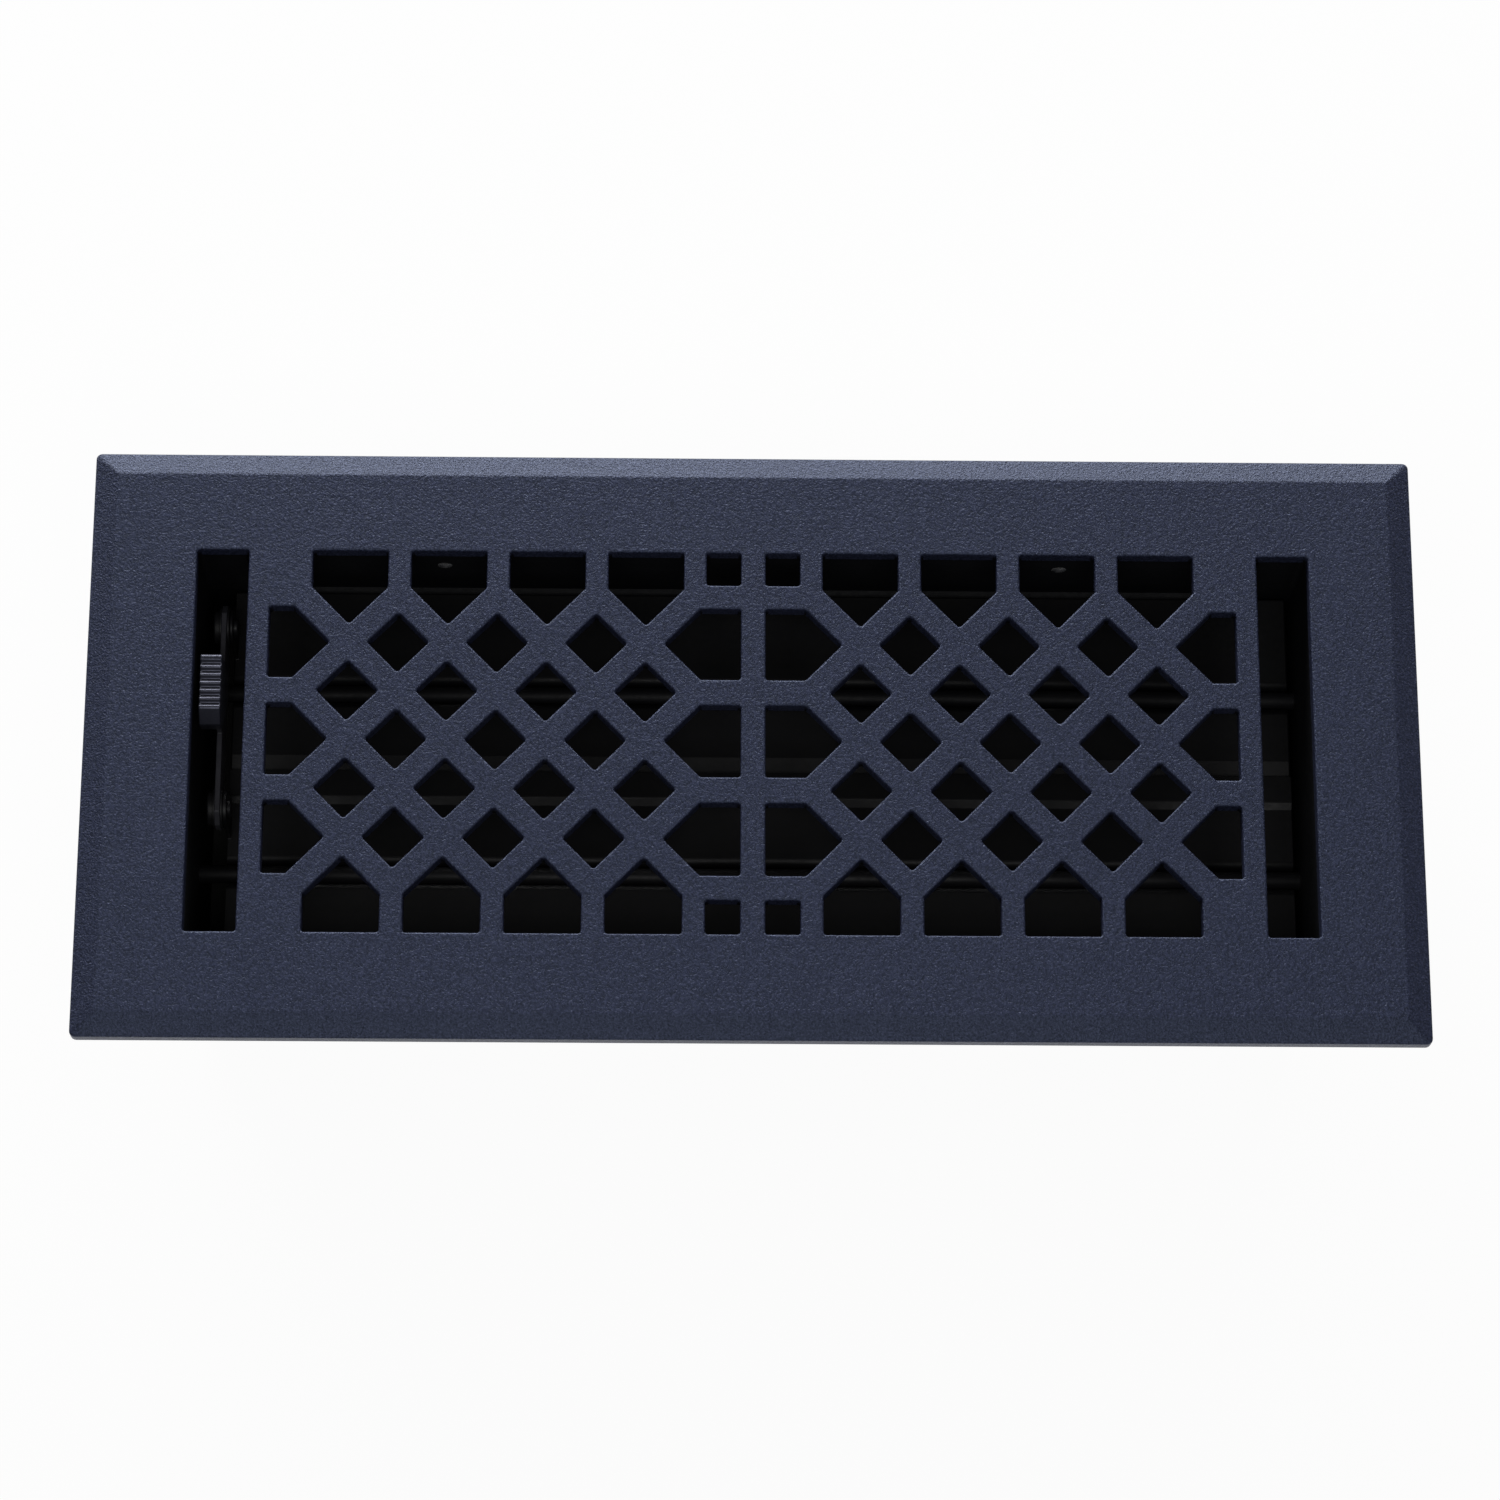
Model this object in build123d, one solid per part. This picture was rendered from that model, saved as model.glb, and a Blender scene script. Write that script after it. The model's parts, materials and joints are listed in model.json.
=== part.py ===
from build123d import *
import os
from math import cos, radians, sin

# Cast lattice floor register over a sheet-steel damper box with two linked louvers, in millimetres.
# Frame: X along the plate, Y across it, Z up, origin on the floor plane under the plate's middle.

# Lattice pattern of the faceplate
PITCH_X = 21.73
PITCH_Y = 22.3
COLUMNS = 4
LATTICE_BAR = 5.9
HOUSE_BAR = 5.1
CROSS_BAR = 5.9
CENTRE_BAR = 5.4
HOUSE_SIDE = 8.55
CENTRE_FLAT = 8.8
END_FLAT = 5.4
SQUARE_SIDE = 7.6
SLOT_WIDTH = 11.4
SLOT_BAR = 4.9
HOLE_CHAMFER = 0.45

# Faceplate casting
PLATE_THICKNESS = 5.0
EDGE_HEIGHT = 3.1
BEVEL_WIDTH = 5.3
OUTER_CORNER = 2.4
FACE_CORNER = 0.8
RIM_LAND = 13.0
RECESS_DEPTH = 1.5
RECESS_CORNER = 3.0
FLOOR_LAP_X = 19.05
FLOOR_LAP_Y = 15.875
DUCT_CLEARANCE = 3.2

# Screw bosses under the plate's solid corners
BOSS_SIDE = 8.0
BOSS_DRAFT = 3.0
BOSS_DROP = 2.0
BOSS_INSET_X = 3.9
BOSS_INSET_Y = 6.0
SCREW_DIAMETER = 3.5
SCREW_DEPTH = 5.5
SCREW_HEAD_FLATS = 6.4
SCREW_HEAD_HEIGHT = 3.0
SCREW_TIP_GAP = 0.8
SCREW_CLEARANCE = 0.5
THREAD_CLEARANCE = 0.02

# Damper box sheet
BOX_SHEET = 0.9
BOX_DEPTH = 54.6
SLOT_INSET = 0.3
FIELD_LEDGE = 3.1
FLANGE_LENGTH = 10.0
BEND_RADIUS = 1.2
HEM_WIDTH = 5.0
HEM_RELIEF = 1.5
EAR_WIDTH = 10.0
EAR_RELIEF = 1.0
EAR_END_MARGIN = 5.2
SIDE_HOLE_DIAMETER = 3.3
SIDE_HOLE_SPACING = 138.0
SIDE_HOLE_DROP = 13.0
STOP_BEAD_LENGTH = 210.0
STOP_BEAD_WIDTH = 4.8
STOP_BEAD_DEPTH = 2.4
STOP_BEAD_TAPER = 30.0
STOP_GAP = 0.3

# Corner rivets of the box
RIVET_DIAMETER = 3.2
RIVET_HEAD_DIAMETER = 5.8
RIVET_HEAD_HEIGHT = 1.1
RIVET_TAIL_LENGTH = 1.6
RIVET_SETBACK = 5.5
RIVET_DROP = 41.0
RIVET_CLEARANCE = 0.02

# Louvers
LOUVER_SHEET = 0.8
LOUVER_DROP = 27.1
PIVOT_SPACING = 42.4
EDGE_GAP = 1.8
END_GAP = 1.4
TROUGH_RADIUS = 2.2
TROUGH_LIP_RADIUS = 1.4
FLAT_RISE = 1.6
LAP_WIDTH = 5.9
LAP_OFFSET = 0.55
LAP_JOGGLE = 1.7
REAR_JOGGLE = 3.9
LAP_RISE = 0.9
LAP_DROP = 0.7
JOGGLE_RADIUS = 0.6

# Pivot rods
ROD_DIAMETER = 4.0
ROD_SEAT = 0.05
ROD_SIDE_CLEARANCE = 0.1
ROD_CLEARANCE = 0.06
ROD_PROUD = 1.2

# Linkage
CRANK_RADIUS = 16.6
CRANK_ANGLE = 45.0
CRANK_EAR_RADIUS = 4.0
PIN_DIAMETER = 4.0
PIN_CLEARANCE = 0.08
PIN_SEAT = 0.02
PIN_TAIL_LENGTH = 0.9
PIN_HEAD_DIAMETER = 7.6
PIN_HEAD_HEIGHT = 1.2
WASHER_DIAMETER = 9.0
WASHER_THICKNESS = 0.5
SLIDE_GAP = 0.05
LINK_SHEET = 1.2
LINK_BAR_WIDTH = 9.0
LINK_ARM_WIDTH = 10.0
LINK_NECK_WIDTH = 8.0
LINK_CLIP = 2.5
LINK_WALL_GAP = 4.3

# Thumb cap
CAP_WIDTH = 4.8
CAP_LENGTH = 15.6
CAP_HEIGHT = 16.0
CAP_FOOT = 6.4
CAP_FRONT = 3.2
CAP_TOP_DROP = 0.5
CAP_SHOULDER = 3.0
CAP_EDGE = 0.5
CAP_ROOF = 5.0
CAP_OFFSET = 0.7
RIB_PITCH = 1.83
RIB_COUNT = 7
RIB_GROOVE = 0.95

# Sizes of the pattern that follow from the pitch and the bars
diamond_share = (1 - LATTICE_BAR * (PITCH_X**-2 + PITCH_Y**-2) ** 0.5) / 2
diamond_x = diamond_share * PITCH_X
diamond_y = diamond_share * PITCH_Y
house_half = (PITCH_X - HOUSE_BAR) / 2
house_roof = house_half * PITCH_Y / PITCH_X
pocket_half = (PITCH_Y - CROSS_BAR) / 2
pocket_roof = pocket_half * PITCH_X / PITCH_Y
centre_apex_x = CENTRE_BAR / 2 + CENTRE_FLAT + pocket_roof
inner_column = centre_apex_x + PITCH_X / 2 - diamond_x
end_apex_x = inner_column + (COLUMNS - 0.5) * PITCH_X - diamond_x
house_apex_y = 1.5 * PITCH_Y - diamond_y
field_half_x = end_apex_x + pocket_roof + END_FLAT
field_half_y = house_apex_y + house_roof + HOUSE_SIDE
slot_inner = field_half_x + SLOT_BAR
slot_outer = slot_inner + SLOT_WIDTH

# Box and plate outlines, worked outwards from the pattern
box_inner_x = slot_outer + SLOT_INSET
box_inner_y = field_half_y + FIELD_LEDGE
box_outer_x = box_inner_x + BOX_SHEET
box_outer_y = box_inner_y + BOX_SHEET
plate_length = 2 * (box_outer_x + DUCT_CLEARANCE + FLOOR_LAP_X)
plate_width = 2 * (box_outer_y + DUCT_CLEARANCE + FLOOR_LAP_Y)
box_top = RECESS_DEPTH
box_bottom = -BOX_DEPTH

# Screw places and the level of the ears that the screws clamp
screw_x = field_half_x - BOSS_INSET_X
screw_y = field_half_y - BOSS_INSET_Y
ear_top = -BOSS_DROP
ear_reach = box_inner_y - screw_y + EAR_END_MARGIN
rivet_x = box_inner_x - RIVET_SETBACK

# Louver and linkage places
pivot_y = PIVOT_SPACING / 2
pivot_z = -LOUVER_DROP - FLAT_RISE
pin_u = CRANK_RADIUS * cos(radians(CRANK_ANGLE))
pin_w = CRANK_RADIUS * sin(radians(CRANK_ANGLE))
pin_z = pivot_z + pin_w
link_outer = -(box_inner_x - LINK_WALL_GAP)
link_inner = link_outer + LINK_SHEET
ear_outer = link_inner + WASHER_THICKNESS + SLIDE_GAP
louver_start = ear_outer
louver_end = box_inner_x - END_GAP
trough_half = ROD_DIAMETER / 2 + ROD_SIDE_CLEARANCE + LOUVER_SHEET / 2
trough_floor = ROD_DIAMETER / 2 + ROD_SEAT + LOUVER_SHEET / 2
cap_top = PLATE_THICKNESS - CAP_TOP_DROP


def across(sketch, start, end):
    """Extrude a sketch drawn in Y and Z along X from start to end."""
    return extrude(Plane.YZ.offset(start) * sketch, end - start)


def turned(profile, origin, axis):
    """Revolve a (radius, height) outline about an axis that leaves origin in the given direction."""
    outline = Polygon(*profile, align=None)
    solid = revolve(Plane.XZ * outline, Axis.Z)
    return Plane(origin=origin, z_dir=axis) * solid


def pierced(*points):
    """Polygonal hole of the grille."""
    return Polygon(*points, align=None)


def diamond(x, y):
    return pierced((x - diamond_x, y), (x, y + diamond_y), (x + diamond_x, y), (x, y - diamond_y))


def house(x, side):
    """Five-sided hole along a long edge, its roof pointing at the plate's middle."""
    eaves = field_half_y - HOUSE_SIDE
    return pierced(
        (x - house_half, side * field_half_y),
        (x + house_half, side * field_half_y),
        (x + house_half, side * eaves),
        (x, side * house_apex_y),
        (x - house_half, side * eaves),
    )


def pocket(wall_x, shoulder_x, apex_x, y):
    """Five-sided hole with one upright edge and a roof pointing along X."""
    return pierced(
        (wall_x, y - pocket_half),
        (shoulder_x, y - pocket_half),
        (apex_x, y),
        (shoulder_x, y + pocket_half),
        (wall_x, y + pocket_half),
    )


def corner_square(side_x, side_y):
    near_x = side_x * CENTRE_BAR / 2
    far_x = near_x + side_x * SQUARE_SIDE
    far_y = side_y * field_half_y
    near_y = far_y - side_y * SQUARE_SIDE
    return pierced((near_x, near_y), (far_x, near_y), (far_x, far_y), (near_x, far_y))


def lever_slot(side):
    inner = side * slot_inner
    outer = side * slot_outer
    half = field_half_y
    return pierced((inner, -half), (outer, -half), (outer, half), (inner, half))


def pattern_holes():
    """All holes of the grille, mirrored about the upright bar in the middle."""
    holes = []
    rows = (-PITCH_Y, 0, PITCH_Y)
    for side in (-1, 1):
        for column in range(COLUMNS):
            x = side * (inner_column + column * PITCH_X)
            holes += [diamond(x, -PITCH_Y / 2), diamond(x, PITCH_Y / 2), house(x, -1), house(x, 1)]
        for column in range(COLUMNS - 1):
            x = side * (inner_column + (column + 0.5) * PITCH_X)
            holes += [diamond(x, y) for y in rows]
        for y in rows:
            centre_wall = side * CENTRE_BAR / 2
            centre_shoulder = centre_wall + side * CENTRE_FLAT
            holes.append(pocket(centre_wall, centre_shoulder, side * centre_apex_x, y))
            end_wall = side * field_half_x
            end_shoulder = end_wall - side * END_FLAT
            holes.append(pocket(end_wall, end_shoulder, side * end_apex_x, y))
        holes += [corner_square(side, -1), corner_square(side, 1), lever_slot(side)]
    return holes


def screw_places():
    return [(x, y) for x in (-screw_x, screw_x) for y in (-screw_y, screw_y)]


def make_faceplate():
    """Beveled casting with a hollow underside, four screw bosses and the pierced lattice."""
    rim = extrude(RectangleRounded(plate_length, plate_width, OUTER_CORNER), EDGE_HEIGHT)
    face_length = plate_length - 2 * BEVEL_WIDTH
    face_width = plate_width - 2 * BEVEL_WIDTH
    bevel_foot = Pos(0, 0, EDGE_HEIGHT) * RectangleRounded(plate_length, plate_width, OUTER_CORNER)
    bevel_top = Pos(0, 0, PLATE_THICKNESS) * RectangleRounded(face_length, face_width, FACE_CORNER)
    plate = rim + loft([bevel_foot.face(), bevel_top.face()], ruled=True)
    recess_outline = RectangleRounded(plate_length - 2 * RIM_LAND, plate_width - 2 * RIM_LAND, RECESS_CORNER)
    plate -= extrude(recess_outline, RECESS_DEPTH)
    plate -= [extrude(hole, PLATE_THICKNESS, dir=(0, 0, 1)) for hole in pattern_holes()]
    rims = plate.edges().filter_by_position(Axis.Z, PLATE_THICKNESS, PLATE_THICKNESS)
    hole_rims = [e for e in rims if abs(e.center().X) < box_outer_x and abs(e.center().Y) < box_outer_y]
    plate = chamfer(hole_rims, HOLE_CHAMFER)
    for x, y in screw_places():
        foot = Pos(x, y, RECESS_DEPTH) * Rectangle(BOSS_SIDE, BOSS_SIDE)
        plate += extrude(foot, RECESS_DEPTH - ear_top, dir=(0, 0, -1), taper=BOSS_DRAFT)
        plate -= extrude(Pos(x, y, ear_top) * Circle(SCREW_DIAMETER / 2), SCREW_DEPTH)
    return plate


def make_screws():
    """Hexagon-head screws that clamp the box ears against the bosses."""
    seat = ear_top - BOX_SHEET
    head = RegularPolygon(SCREW_HEAD_FLATS / 2, 6, major_radius=False)
    shank = Circle(SCREW_DIAMETER / 2 - THREAD_CLEARANCE)
    screw = extrude(head, SCREW_HEAD_HEIGHT, dir=(0, 0, -1))
    screw += extrude(shank, BOX_SHEET + SCREW_DEPTH - SCREW_TIP_GAP)
    return [Pos(x, y, seat) * screw for x, y in screw_places()]


def sheet_hole(x, y, z, diameter):
    """Cutter for a round hole through a sheet that faces Y."""
    return Pos(x, y, z) * Rot(90, 0, 0) * Cylinder(diameter / 2, 2 * BOX_SHEET)


def stop_bead(side, face_y, bead_z, margin):
    """Pressed bead with sloping sides and ends, raised inwards from the given face of a long wall."""
    foot = Rectangle(STOP_BEAD_LENGTH - margin, STOP_BEAD_WIDTH - margin)
    plane = Plane(origin=(0, side * face_y, bead_z), x_dir=(1, 0, 0), z_dir=(0, -side, 0))
    return extrude(plane * foot, STOP_BEAD_DEPTH, taper=STOP_BEAD_TAPER)


def make_side_wall(side, bead_z):
    """Long wall with two screw ears, a turned-in hem, a pressed stop bead and two duct holes."""
    middle = side * (box_inner_y + BOX_SHEET / 2)
    hem_middle = box_bottom + BOX_SHEET / 2
    hem_edge = side * (box_inner_y - HEM_WIDTH)
    bend = BEND_RADIUS + BOX_SHEET / 2
    path = FilletPolyline((middle, box_top), (middle, hem_middle), (hem_edge, hem_middle), radius=bend)
    wall = across(trace(path, BOX_SHEET), -box_outer_x, box_outer_x)
    hem_half = box_inner_x - FLANGE_LENGTH - HEM_RELIEF
    for end in (-1, 1):
        relief_length = box_outer_x - hem_half
        relief = Box(relief_length, HEM_WIDTH, BEND_RADIUS + BOX_SHEET)
        relief_x = end * (hem_half + relief_length / 2)
        relief_y = side * (box_inner_y - HEM_WIDTH / 2)
        wall -= Pos(relief_x, relief_y, box_bottom + (BEND_RADIUS + BOX_SHEET) / 2) * relief
    wall += stop_bead(side, box_inner_y, bead_z, 0)
    wall -= stop_bead(side, box_outer_y, bead_z, BOX_SHEET)
    for x in (-screw_x, screw_x):
        notch_depth = box_top - ear_top
        notch = Box(EAR_WIDTH + 2 * EAR_RELIEF, 2 * BOX_SHEET, notch_depth)
        wall -= Pos(x, middle, ear_top + notch_depth / 2) * notch
        ear_length = ear_reach + BOX_SHEET
        ear = Box(EAR_WIDTH, ear_length, BOX_SHEET)
        wall += Pos(x, side * (box_outer_y - ear_length / 2), ear_top - BOX_SHEET / 2) * ear
        hole = Cylinder(SCREW_DIAMETER / 2 + SCREW_CLEARANCE, 4 * BOX_SHEET)
        wall -= Pos(x, side * screw_y, ear_top) * hole
    for x in (-SIDE_HOLE_SPACING / 2, SIDE_HOLE_SPACING / 2):
        wall -= sheet_hole(x, middle, -SIDE_HOLE_DROP, SIDE_HOLE_DIAMETER)
    for x in (-rivet_x, rivet_x):
        wall -= sheet_hole(x, middle, -RIVET_DROP, RIVET_DIAMETER)
    return wall


def make_end_wall(side):
    """Short wall with turned-in corner flanges and the two pivot holes."""
    middle_x = side * (box_inner_x + BOX_SHEET / 2)
    flange_x = side * (box_inner_x - FLANGE_LENGTH)
    middle_y = box_inner_y - BOX_SHEET / 2
    corners = ((flange_x, middle_y), (middle_x, middle_y), (middle_x, -middle_y), (flange_x, -middle_y))
    path = FilletPolyline(*corners, radius=BEND_RADIUS + BOX_SHEET / 2)
    wall = extrude(Pos(0, 0, box_bottom) * trace(path, BOX_SHEET), box_top - box_bottom)
    for y in (-pivot_y, pivot_y):
        bore = Circle(ROD_DIAMETER / 2 + ROD_CLEARANCE)
        wall -= across(Pos(y, pivot_z) * bore, middle_x - BOX_SHEET, middle_x + BOX_SHEET)
    for y in (-middle_y, middle_y):
        wall -= sheet_hole(side * rivet_x, y, -RIVET_DROP, RIVET_DIAMETER)
    return wall


def make_corner_rivets():
    """One rivet at each box corner, through the side wall and the end wall's flange."""
    shank = RIVET_DIAMETER / 2 - RIVET_CLEARANCE
    head = RIVET_HEAD_DIAMETER / 2
    tail = -2 * BOX_SHEET - RIVET_TAIL_LENGTH
    profile = (
        (0, RIVET_HEAD_HEIGHT),
        (head, RIVET_HEAD_HEIGHT),
        (head, 0),
        (shank, 0),
        (shank, tail),
        (0, tail),
    )
    corners = [(x, side) for x in (-rivet_x, rivet_x) for side in (-1, 1)]
    return [turned(profile, (x, side * box_outer_y, -RIVET_DROP), (0, side, 0)) for x, side in corners]


def make_louver(side):
    """Blade with a trough for its rod, a stepped lap along the middle and a crank ear at the lever end.

    The outline is drawn about the pivot. The front blade's lap steps up and lies over the rear blade's.
    """
    outer_edge = side * (box_inner_y - EDGE_GAP - pivot_y)
    lap_step = LAP_RISE if side < 0 else -LAP_DROP
    joggle = LAP_JOGGLE if side < 0 else REAR_JOGGLE
    lap_end = -side * (pivot_y + LAP_WIDTH / 2) - LAP_OFFSET
    lap_start = lap_end + side * LAP_WIDTH
    flat_end = lap_start + side * joggle
    trough_outer = side * trough_half
    trough_bends = [TROUGH_LIP_RADIUS, TROUGH_RADIUS, TROUGH_RADIUS, TROUGH_LIP_RADIUS]
    path = FilletPolyline(
        (outer_edge, FLAT_RISE),
        (trough_outer, FLAT_RISE),
        (trough_outer, -trough_floor),
        (-trough_outer, -trough_floor),
        (-trough_outer, FLAT_RISE),
        (flat_end, FLAT_RISE),
        (lap_start, FLAT_RISE + lap_step),
        (lap_end, FLAT_RISE + lap_step),
        radius=trough_bends + [JOGGLE_RADIUS, JOGGLE_RADIUS],
    )
    blade = across(trace(path, LOUVER_SHEET), louver_start, louver_end)
    ear_foot = FLAT_RISE - LOUVER_SHEET / 2
    stem = Pos(pin_u, (ear_foot + pin_w) / 2) * Rectangle(2 * CRANK_EAR_RADIUS, pin_w - ear_foot)
    ear = stem + Pos(pin_u, pin_w) * Circle(CRANK_EAR_RADIUS) - Pos(pin_u, pin_w) * Circle(PIN_DIAMETER / 2)
    blade += across(ear, ear_outer, ear_outer + LOUVER_SHEET)
    return Pos(0, side * pivot_y, pivot_z) * blade


def make_pivot_rod(side):
    """Plain rod whose ends turn in the end walls and stand a little proud of them."""
    end = box_outer_x + ROD_PROUD
    rod = Circle(ROD_DIAMETER / 2)
    return across(Pos(side * pivot_y, pivot_z) * rod, -end, end)


def make_crank_rivet(side):
    """Shouldered rivet fixed in a crank ear, on which the link turns."""
    shank = PIN_DIAMETER / 2 - PIN_SEAT
    head = PIN_HEAD_DIAMETER / 2
    tail = -LOUVER_SHEET - PIN_TAIL_LENGTH
    head_seat = ear_outer - link_outer + WASHER_THICKNESS + SLIDE_GAP
    profile = (
        (0, tail),
        (shank, tail),
        (shank, head_seat),
        (head, head_seat),
        (head, head_seat + PIN_HEAD_HEIGHT),
        (0, head_seat + PIN_HEAD_HEIGHT),
    )
    return turned(profile, (ear_outer, side * pivot_y + pin_u, pin_z), (-1, 0, 0))


def make_washers(face):
    """Pair of washers on the link, one at each crank pin, starting at the given X."""
    ring = Circle(WASHER_DIAMETER / 2) - Circle(PIN_DIAMETER / 2 + PIN_CLEARANCE)
    rings = [Pos(side * pivot_y + pin_u, pin_z) * ring for side in (-1, 1)]
    return [across(outline, face, face + WASHER_THICKNESS) for outline in rings]


def make_link_bar():
    """Flat bar between the two crank pins with an upright arm for the thumb cap."""
    arm_top = cap_top - CAP_ROOF
    arm_foot = pin_z + LINK_BAR_WIDTH / 2
    bar = Rectangle(PIVOT_SPACING + LINK_BAR_WIDTH, LINK_BAR_WIDTH)
    bar = Pos(pin_u, pin_z) * chamfer(bar.vertices(), LINK_CLIP)
    arm = Polygon(
        (pin_u - LINK_ARM_WIDTH / 2, pin_z),
        (pin_u + LINK_ARM_WIDTH / 2, pin_z),
        (pin_u + LINK_ARM_WIDTH / 2, arm_foot),
        (pin_u + LINK_NECK_WIDTH / 2, arm_top),
        (pin_u - LINK_NECK_WIDTH / 2, arm_top),
        (pin_u - LINK_ARM_WIDTH / 2, arm_foot),
        align=None,
    )
    outline = bar + arm
    for side in (-1, 1):
        outline -= Pos(side * pivot_y + pin_u, pin_z) * Circle(PIN_DIAMETER / 2 + PIN_CLEARANCE)
    return across(outline, link_outer, link_inner)


def make_thumb_cap():
    """Ribbed finger piece pressed over the link's arm, its front cut back towards the foot."""
    cap_bottom = cap_top - CAP_HEIGHT
    back = pin_u + CAP_LENGTH / 2
    front = pin_u - CAP_LENGTH / 2
    shoulder = front + CAP_SHOULDER
    outline = Polygon(
        (back, cap_top),
        (shoulder, cap_top),
        (front, cap_top - CAP_SHOULDER),
        (front, cap_top - CAP_SHOULDER - CAP_FRONT),
        (back - CAP_FOOT, cap_bottom),
        (back, cap_bottom),
        align=None,
    )
    middle = (link_outer + link_inner) / 2 - CAP_OFFSET
    cap = across(outline, middle - CAP_WIDTH / 2, middle + CAP_WIDTH / 2)
    cap = chamfer(cap.faces().filter_by(Axis.X).edges(), CAP_EDGE)
    rib_middle = (back + shoulder) / 2
    for index in range(RIB_COUNT):
        y = rib_middle + (index - (RIB_COUNT - 1) / 2) * RIB_PITCH
        groove = Pos(y, cap_top) * Rot(0, 0, 45) * Rectangle(RIB_GROOVE, RIB_GROOVE)
        cap -= across(groove, middle - CAP_WIDTH, middle + CAP_WIDTH)
    return cap - make_link_bar()


def write(name, solids):
    """Write one node, a single solid or a group of separate solids."""
    shape = Compound(children=solids) if isinstance(solids, list) else solids
    export_step(shape, f"parts/{name}.step")


os.makedirs("parts", exist_ok=True)
flat_z = pivot_z + FLAT_RISE
bead_offset = LOUVER_SHEET / 2 + STOP_GAP + STOP_BEAD_WIDTH / 2
write("faceplate", make_faceplate())
write("mounting_screws", make_screws())
write("front_side_wall", make_side_wall(-1, flat_z + bead_offset))
write("rear_side_wall", make_side_wall(1, flat_z - bead_offset))
write("lever_end_wall", make_end_wall(-1))
write("plain_end_wall", make_end_wall(1))
write("corner_rivets", make_corner_rivets())
write("front_louver", make_louver(-1))
write("rear_louver", make_louver(1))
write("front_pivot_rod", make_pivot_rod(-1))
write("rear_pivot_rod", make_pivot_rod(1))
write("front_crank_rivet", make_crank_rivet(-1))
write("rear_crank_rivet", make_crank_rivet(1))
write("spacer_washers", make_washers(link_inner))
write("friction_washers", make_washers(link_outer - WASHER_THICKNESS))
write("link_bar", make_link_bar())
write("thumb_cap", make_thumb_cap())
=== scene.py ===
import json
from math import acos, atan2, cos, pi, radians, sin, sqrt, tan

import bmesh
import bpy
from mathutils import Matrix, Vector
from mathutils.geometry import delaunay_2d_cdt


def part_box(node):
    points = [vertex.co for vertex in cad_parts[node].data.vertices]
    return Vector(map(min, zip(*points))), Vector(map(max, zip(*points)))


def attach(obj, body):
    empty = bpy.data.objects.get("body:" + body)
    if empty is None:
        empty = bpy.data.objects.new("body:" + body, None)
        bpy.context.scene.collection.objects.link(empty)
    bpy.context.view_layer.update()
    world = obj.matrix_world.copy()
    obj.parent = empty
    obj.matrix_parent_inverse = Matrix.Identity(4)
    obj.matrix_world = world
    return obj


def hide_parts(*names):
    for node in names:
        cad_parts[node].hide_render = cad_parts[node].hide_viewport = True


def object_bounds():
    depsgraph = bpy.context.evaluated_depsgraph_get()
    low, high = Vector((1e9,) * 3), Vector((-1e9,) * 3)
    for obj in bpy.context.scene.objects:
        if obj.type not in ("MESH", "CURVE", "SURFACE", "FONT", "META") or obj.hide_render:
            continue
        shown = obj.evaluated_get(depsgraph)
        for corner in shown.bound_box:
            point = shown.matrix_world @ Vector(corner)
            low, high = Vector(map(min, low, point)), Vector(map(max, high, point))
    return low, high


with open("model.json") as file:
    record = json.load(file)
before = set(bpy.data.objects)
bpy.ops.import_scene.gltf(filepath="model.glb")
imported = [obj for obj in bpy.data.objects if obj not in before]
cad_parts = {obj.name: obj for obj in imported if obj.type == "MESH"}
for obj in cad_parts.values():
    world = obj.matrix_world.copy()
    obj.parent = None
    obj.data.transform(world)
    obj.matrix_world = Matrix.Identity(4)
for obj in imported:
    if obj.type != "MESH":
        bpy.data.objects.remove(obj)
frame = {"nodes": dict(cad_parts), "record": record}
cad_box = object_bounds()

MM = 0.001

# Lattice pattern of the casting, in millimetres
PITCH_X = 21.73
PITCH_Y = 22.3
COLUMNS = 4
LATTICE_BAR = 5.9
HOUSE_BAR = 5.1
CROSS_BAR = 5.9
CENTRE_BAR = 5.4
HOUSE_SIDE = 8.55
CENTRE_FLAT = 8.8
END_FLAT = 5.4
SQUARE_SIDE = 7.6
SLOT_WIDTH = 11.4
SLOT_BAR = 4.9

# Section of the casting, in millimetres
PLATE_THICKNESS = 5.0
EDGE_HEIGHT = 3.1
BEVEL_WIDTH = 5.3
OUTER_CORNER = 1.3
FACE_CORNER = 0.2
RIM_LAND = 13.0
RECESS_DEPTH = 1.5
RECESS_CORNER = 3.0
BOSS_SIDE = 8.0
BOSS_TAPER = 0.183
BOSS_DROP = 2.0
BOSS_INSET_X = 3.9
BOSS_INSET_Y = 6.0
SCREW_DIAMETER = 3.5
SCREW_DEPTH = 5.5

# Softness of the casting, in millimetres
HOLE_CORNER = 0.65
HOLE_EDGE = 0.45
RIM_EDGE = 0.3
FACE_EDGE = 0.3
FOOT_EDGE = 0.25
BOSS_CORNER = 0.7

# Steps of rounded corners, soft edges, screw bores, turned pieces, domes, pin edges and screw heads
CORNER_STEPS = 5
EDGE_STEPS = 4
BORE_STEPS = 32
TURN_STEPS = 40
DOME_STEPS = 9
PIN_EDGE_STEPS = 6
HEX_STEPS = 72

# Triangles of flat faces: only inside the outline, and how near in millimetres points count as one
INSIDE_ONLY = 1
SAME_POINT = 1e-7

# Thumb cap, in millimetres
CAP_WIDTH = 4.8
CAP_SHOULDER = 3.0
CAP_FRONT = 3.2
CAP_FOOT = 6.4
CAP_CORNER = 0.9
CAP_SOFT = 0.35
RIB_PITCH = 1.83
RIB_SHIFT = 0.5
RIB_COUNT = 7
RIB_DEPTH = 0.6
RIB_SAMPLES = 84

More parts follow.
